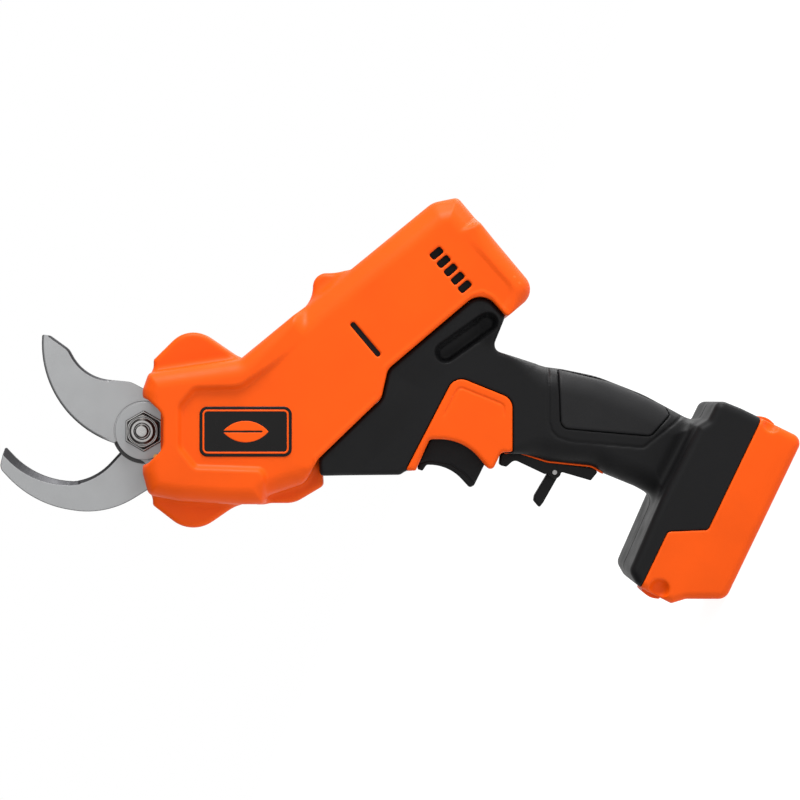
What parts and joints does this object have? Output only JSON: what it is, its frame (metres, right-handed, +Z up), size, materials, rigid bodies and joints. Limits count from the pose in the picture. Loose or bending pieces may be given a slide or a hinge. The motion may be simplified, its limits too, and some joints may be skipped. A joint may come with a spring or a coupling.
{
  "type": "battery electric pruner",
  "caption": "Handheld cordless bypass pruner with a screw-driven cutting head, angled motor tube, trigger handle and slide-on battery foot.",
  "frame": {"origin": "middle of the battery pack's flat underside, on which the tool stands", "axes": "+Z up through the handle to the cutting head, -X the way the blades point, Y across the tool"},
  "size_m": [0.2321, 0.074, 0.3684],
  "materials": {
    "orange_housing": "fine textured moulding",
    "black_housing": "fine textured moulding",
    "rubber_grip": "soft touch",
    "badge": "satin",
    "blade_steel": "ground and brushed",
    "hardware_steel": "zinc plated",
    "dark_steel": "oiled",
    "cast_alloy": "as cast",
    "motor_steel": "plated can",
    "bronze": "sintered",
    "gear_steel": "machined",
    "nylon": "satin",
    "pale_plastic": "satin",
    "board": "solder mask",
    "contacts": "plated",
    "cable": "sleeved",
    "cell_wrap": "shrink film",
    "spring_steel": "wire"
  },
  "bodies": {
    "housing": {"body_shell_left": "orange_housing", "body_shell_right": "orange_housing", "handle_shell_left": "black_housing", "handle_shell_right": "black_housing", "trigger_panel_left": "orange_housing", "trigger_panel_right": "orange_housing", "grip_pad_left": "rubber_grip", "grip_pad_right": "rubber_grip", "badge_left": "badge", "badge_right": "badge", "housing_screws": "dark_steel", "counter_blade": "blade_steel", "blade_shim": "nylon", "pivot_bolt": "hardware_steel", "lock_plate": "hardware_steel", "pivot_nut": "hardware_steel", "drive_frame": "cast_alloy", "blade_screws": "dark_steel", "bearing_outer_ring": "gear_steel", "bearing_balls": "gear_steel", "gearbox_housing": "gear_steel", "motor_can": "motor_steel", "motor_end_cap": "nylon", "control_board": "board", "switch_body": "nylon", "trigger_spring": "spring_steel", "lever_mount": "black_housing", "lever_pin": "hardware_steel", "lever_spring": "spring_steel", "battery_leads": "cable", "motor_leads": "cable", "terminal_block": "nylon", "terminal_blades": "contacts"},
    "blade": {"moving_blade": "blade_steel", "tail_pin": "hardware_steel", "pivot_bushing": "bronze"},
    "carriage": {"screw_nut": "bronze"},
    "spindle": {"lead_screw": "gear_steel", "bearing_inner_ring": "gear_steel", "planet_carrier": "gear_steel"},
    "planet_1": {"planet_gear_1": "gear_steel"},
    "planet_2": {"planet_gear_2": "gear_steel"},
    "planet_3": {"planet_gear_3": "gear_steel"},
    "rotor": {"motor_shaft": "gear_steel", "rotor_core": "dark_steel", "fan": "nylon"},
    "trigger": {"trigger": "black_housing"},
    "lock_lever": {"lock_lever": "black_housing"},
    "battery_pack": {"battery_lower_case": "orange_housing", "battery_upper_case": "orange_housing", "battery_cells": "cell_wrap", "cell_holder": "pale_plastic", "pack_board": "board", "pack_contacts": "contacts", "battery_screws": "dark_steel", "latch_spring_front": "spring_steel", "latch_spring_rear": "spring_steel"},
    "front_latch": {"latch_button_front": "orange_housing"},
    "rear_latch": {"latch_button_rear": "orange_housing"}
  },
  "joints": [
    {"name": "rotor_spin", "type": "hinge", "parent": "housing", "child": "rotor", "pos_m": [0.02755, 0, 0.20913], "axis": [0.9128, 0, -0.4083], "range_deg": [0, 7364.06]},
    {"name": "blade_pivot", "type": "hinge", "parent": "housing", "child": "blade", "pos_m": [-0.0959, -0.0021, 0.3005], "axis": [0, -1, 0], "range_deg": [0, 56.01]},
    {"name": "carriage_slide", "type": "slide", "parent": "housing", "child": "carriage", "axis": [0.9128, 0, -0.4083], "range_m": [0, 0.02047]},
    {"name": "spindle_spin", "type": "hinge", "parent": "housing", "child": "spindle", "pos_m": [-0.02722, 0, 0.23363], "axis": [0.9128, 0, -0.4083], "range_deg": [0, 1473.81]},
    {"name": "planet_1_spin", "type": "hinge", "parent": "spindle", "child": "planet_1", "pos_m": [-0.00988, 0.01125, 0.22587], "axis": [0.9128, 0, -0.4083], "range_deg": [-3928.5, 0]},
    {"name": "planet_2_spin", "type": "hinge", "parent": "spindle", "child": "planet_2", "pos_m": [-0.0059, -0.00562, 0.23476], "axis": [0.9128, 0, -0.4083], "range_deg": [-3928.5, 0]},
    {"name": "planet_3_spin", "type": "hinge", "parent": "spindle", "child": "planet_3", "pos_m": [-0.01385, -0.00562, 0.21698], "axis": [0.9128, 0, -0.4083], "range_deg": [-3928.5, 0]},
    {"name": "trigger_pull", "type": "slide", "parent": "housing", "child": "trigger", "axis": [0.9952, 0, -0.0977], "range_m": [0, 0.006], "stiffness_N_per_m": 400, "springref_m": -0.004, "deforming": ["trigger_spring"]},
    {"name": "lever_fold", "type": "hinge", "parent": "housing", "child": "lock_lever", "pos_m": [-0.02384, 0, 0.10235], "axis": [0, -1, 0], "range_deg": [0, 85], "stiffness_Nm_per_rad": 0.05, "springref_deg": -17.19, "deforming": ["lever_spring"]},
    {"name": "pack_slide", "type": "slide", "parent": "housing", "child": "battery_pack", "axis": [-1, 0, 0], "range_m": [0, 0.09]},
    {"name": "front_latch_press", "type": "slide", "parent": "battery_pack", "child": "front_latch", "axis": [1, 0, 0], "range_m": [0, 0.0025], "stiffness_N_per_m": 2000, "springref_m": -0.001, "deforming": ["latch_spring_front"]},
    {"name": "rear_latch_press", "type": "slide", "parent": "battery_pack", "child": "rear_latch", "axis": [-1, 0, 0], "range_m": [0, 0.002], "stiffness_N_per_m": 2000, "springref_m": -0.001, "deforming": ["latch_spring_rear"]}
  ],
  "couplings": [
    {"joint": "blade_pivot", "follows": "rotor_spin", "ratio": 0.0076045},
    {"joint": "carriage_slide", "follows": "rotor_spin", "m_per_rad": 0.00015915},
    {"joint": "spindle_spin", "follows": "rotor_spin", "ratio": 0.2},
    {"joint": "planet_1_spin", "follows": "rotor_spin", "ratio": -0.53333},
    {"joint": "planet_2_spin", "follows": "rotor_spin", "ratio": -0.53333},
    {"joint": "planet_3_spin", "follows": "rotor_spin", "ratio": -0.53333}
  ]
}
